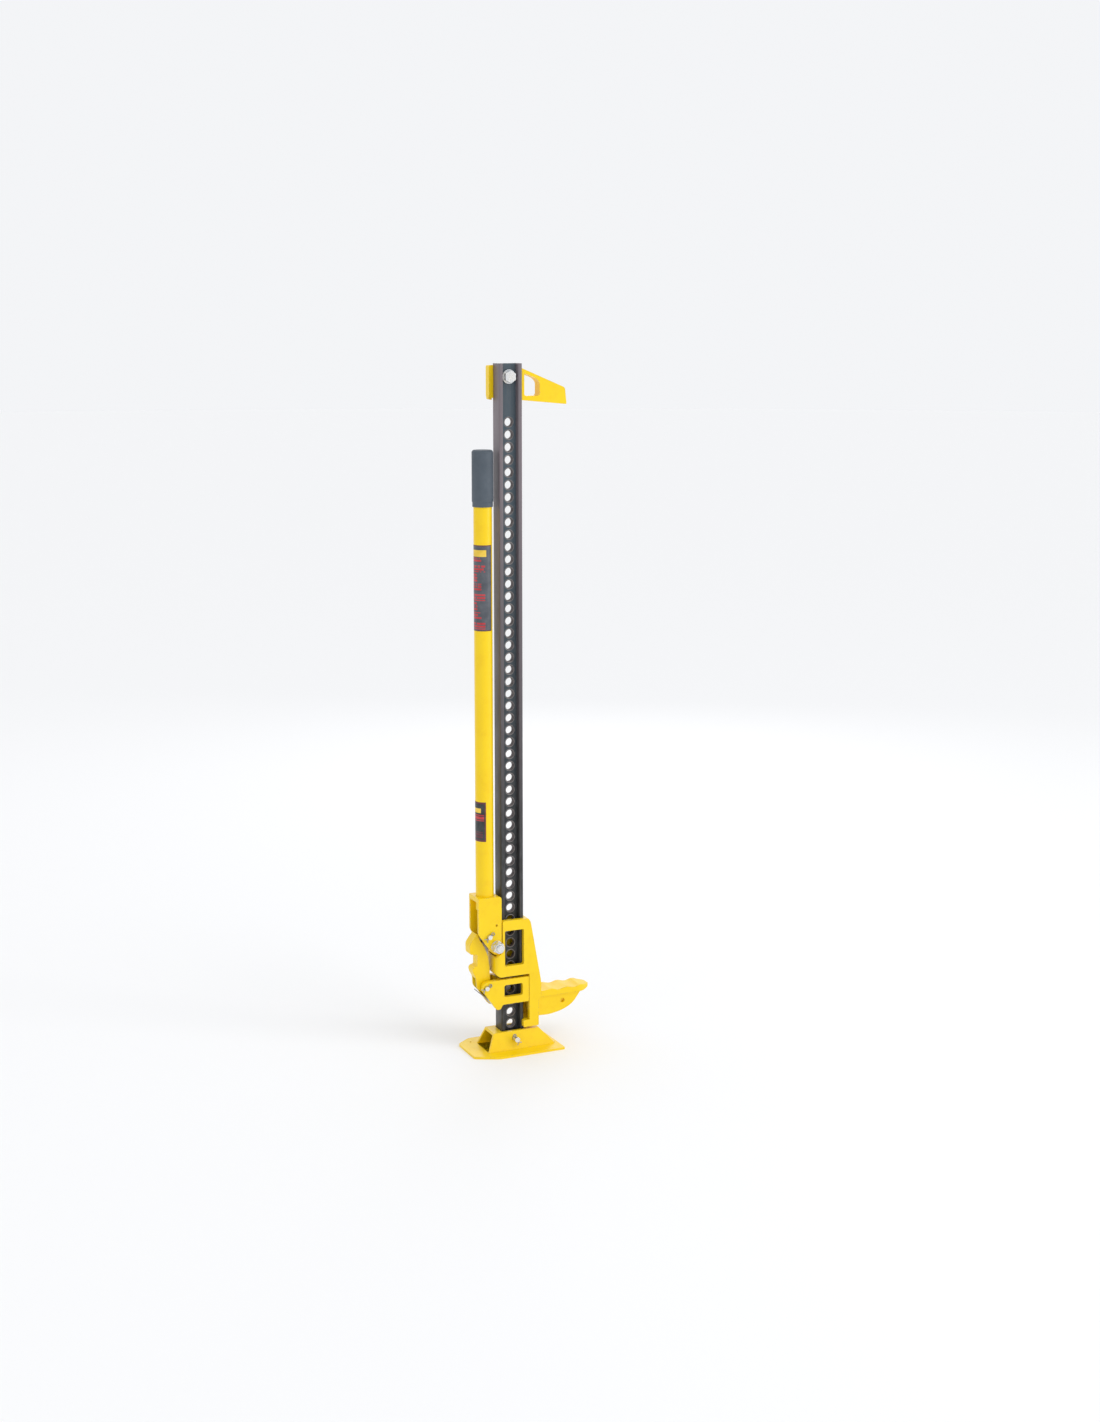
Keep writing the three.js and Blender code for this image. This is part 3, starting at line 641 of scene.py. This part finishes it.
def make_thread(name, node, radius, length, front, body):
    """Thread ridges on the visible end of a bolt."""
    low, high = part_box(node)
    x, z = (low.x + high.x) / 2, (low.z + high.z) / 2
    turns = int(length / THREAD_PITCH)
    core, root, crest = radius - THREAD_CORE, radius + THREAD_ROOT, radius + THREAD_HEIGHT
    profile = [(core, 0)]
    for k in range(turns):
        profile += [(root, k * THREAD_PITCH + 0.15), (crest, (k + 0.5) * THREAD_PITCH)]
    profile += [(root, turns * THREAD_PITCH), (core, turns * THREAD_PITCH)]
    start = low.y if front else high.y
    inward = 1 if front else -1
    turned = Matrix.Scale(inward, 4, (0, 1, 0))
    place = Matrix.Translation((x, start + inward * THREAD_START, z)) @ turned
    built = bmesh.new()
    lathe(built, profile, place)
    add_piece(name, built, ("zinc",), body)


def make_bolt_marks():
    """Radial ribs and a low ring on the head of the clamp bolt."""
    low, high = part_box("clamp_bolt")
    place = Matrix.Translation(((low.x + high.x) / 2, low.y, (low.z + high.z) / 2))
    built = bmesh.new()
    lathe(built, RING_PROFILE, place)
    for k in range(6):
        spoke = Matrix.Rotation(math.radians(60 * k + 30), 4, "Y")
        bmesh.ops.create_cube(built, size=1, matrix=place @ spoke @ RIB_PLACE @ RIB_SIZE)
    add_piece("clamp_bolt_marks", built, ("zinc",), "standard")


def make_spring(name, node):
    """A coil spring in place of the CAD sleeve of the same size."""
    low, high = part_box(node)
    coil_radius = (high.x - low.x) / 2 - SPRING_WIRE
    turns, steps, sides = 4, 24, 8
    x, z = (low.x + high.x) / 2, (low.z + high.z) / 2
    built = bmesh.new()
    rings = []
    for k in range(turns * steps + 1):
        share = k / (turns * steps)
        a = 2 * math.pi * turns * share
        y = low.y + SPRING_WIRE + (high.y - low.y - 2 * SPRING_WIRE) * share
        ring = []
        for i in range(sides):
            b = 2 * math.pi * i / sides
            r = coil_radius + SPRING_WIRE * math.cos(b)
            along = y + SPRING_WIRE * math.sin(b)
            ring.append(built.verts.new((x + r * math.cos(a), along, z + r * math.sin(a))))
        rings.append(ring)
    for ring, following in zip(rings, rings[1:]):
        quad_strip(built, ring, following)
    built.faces.new(rings[0])
    built.faces.new(rings[-1])
    add_piece(name, built, ("steel",), BODY_OF[node], (node,), 60)


# ---------------------------------------------------------------- stickers

VINYLS = ("vinyl_slate", "vinyl_dark", "vinyl_red", "vinyl_maroon", "vinyl_yellow")
SLATE, DARK, RED, MAROON, AMBER = range(5)
STICKER_LIFT = 0.12 * MM
STICKER_THICKNESS = 0.1 * MM
COLUMN_DEG = 4
LARGE_STICKER = {"low_z": 0.762, "high_z": 0.911, "start_deg": -38, "end_deg": 120, "rows": 90}
SMALL_STICKER = {"low_z": 0.388, "high_z": 0.459, "start_deg": 12, "end_deg": 120, "rows": 44}


def make_decal(name, colour_at, low_z, high_z, start_deg, end_deg, rows):
    """A printed sticker that wraps part of the tube. Angles turn from the front towards the left.
    colour_at gives the index of a cell's material from its place across and up the sticker."""
    low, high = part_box("handle_tube")
    centre = (low + high) / 2
    radius = (high.x - low.x) / 2 + STICKER_LIFT
    columns = round((end_deg - start_deg) / COLUMN_DEG)
    built = bmesh.new()
    grid = []
    for i in range(rows + 1):
        z = low_z + (high_z - low_z) * i / rows
        line = []
        for j in range(columns + 1):
            a = math.radians(start_deg + (end_deg - start_deg) * j / columns)
            x, y = centre.x - radius * math.sin(a), centre.y - radius * math.cos(a)
            line.append(built.verts.new((x, y, z)))
        grid.append(line)
    for i in range(rows):
        for j in range(columns):
            corners = (grid[i][j], grid[i][j + 1], grid[i + 1][j + 1], grid[i + 1][j])
            face = built.faces.new(corners)
            face.material_index = colour_at((j + 0.5) / columns, (i + 0.5) / rows, i, j)
    piece = add_piece(name, built, VINYLS, "handle")
    skin = piece.modifiers.new("skin", "SOLIDIFY")
    skin.thickness = STICKER_THICKNESS
    skin.offset = 1


def make_decals():
    """Two stickers with plain bars and blocks, and no words."""
    dice = random.Random(7)
    cells = {}

    def filled(i, j, share):
        return cells.setdefault((i, j), dice.random()) < share

    def large(across, up, i, j):
        if across < 0.03 or up < 0.012 or up > 0.988:
            return MAROON
        if 0.87 < up < 0.95 and 0.24 < across < 0.97:
            return AMBER
        if up > 0.85 or across < 0.16:
            return SLATE
        block = int(up * 9)
        if i % 3 == 0 or up * 9 - block < 0.16:
            return SLATE
        reach = 0.3 + 0.16 * (block % 3)
        return RED if across > reach and filled(i // 3, j // 2, 0.86) else SLATE

    def small(across, up, i, j):
        if across < 0.06 or up < 0.05 or up > 0.95:
            return MAROON
        if 0.72 < up < 0.85 and across > 0.3:
            return AMBER
        if 0.52 < up < 0.68 and across > 0.1 and i % 4 != 0:
            return RED
        if 0.1 < up < 0.25 and across > 0.2 and i % 3 != 0:
            return MAROON
        return DARK

    make_decal("decal_large", large, **LARGE_STICKER)
    make_decal("decal_small", small, **SMALL_STICKER)


make_camera()
make_studio()
make_rounded_pieces()
make_bar()
make_hole_rims()
make_thread("shear_bolt_thread", "shear_bolt", 6, 4, True, "large_runner")
make_thread("clamp_bolt_thread", "clamp_bolt", 5.9, 3.5, False, "standard")
make_bolt_marks()
make_spring("pin_spring_upper_coil", "pin_spring_upper")
make_spring("pin_spring_lower_coil", "pin_spring_lower")
make_decals()
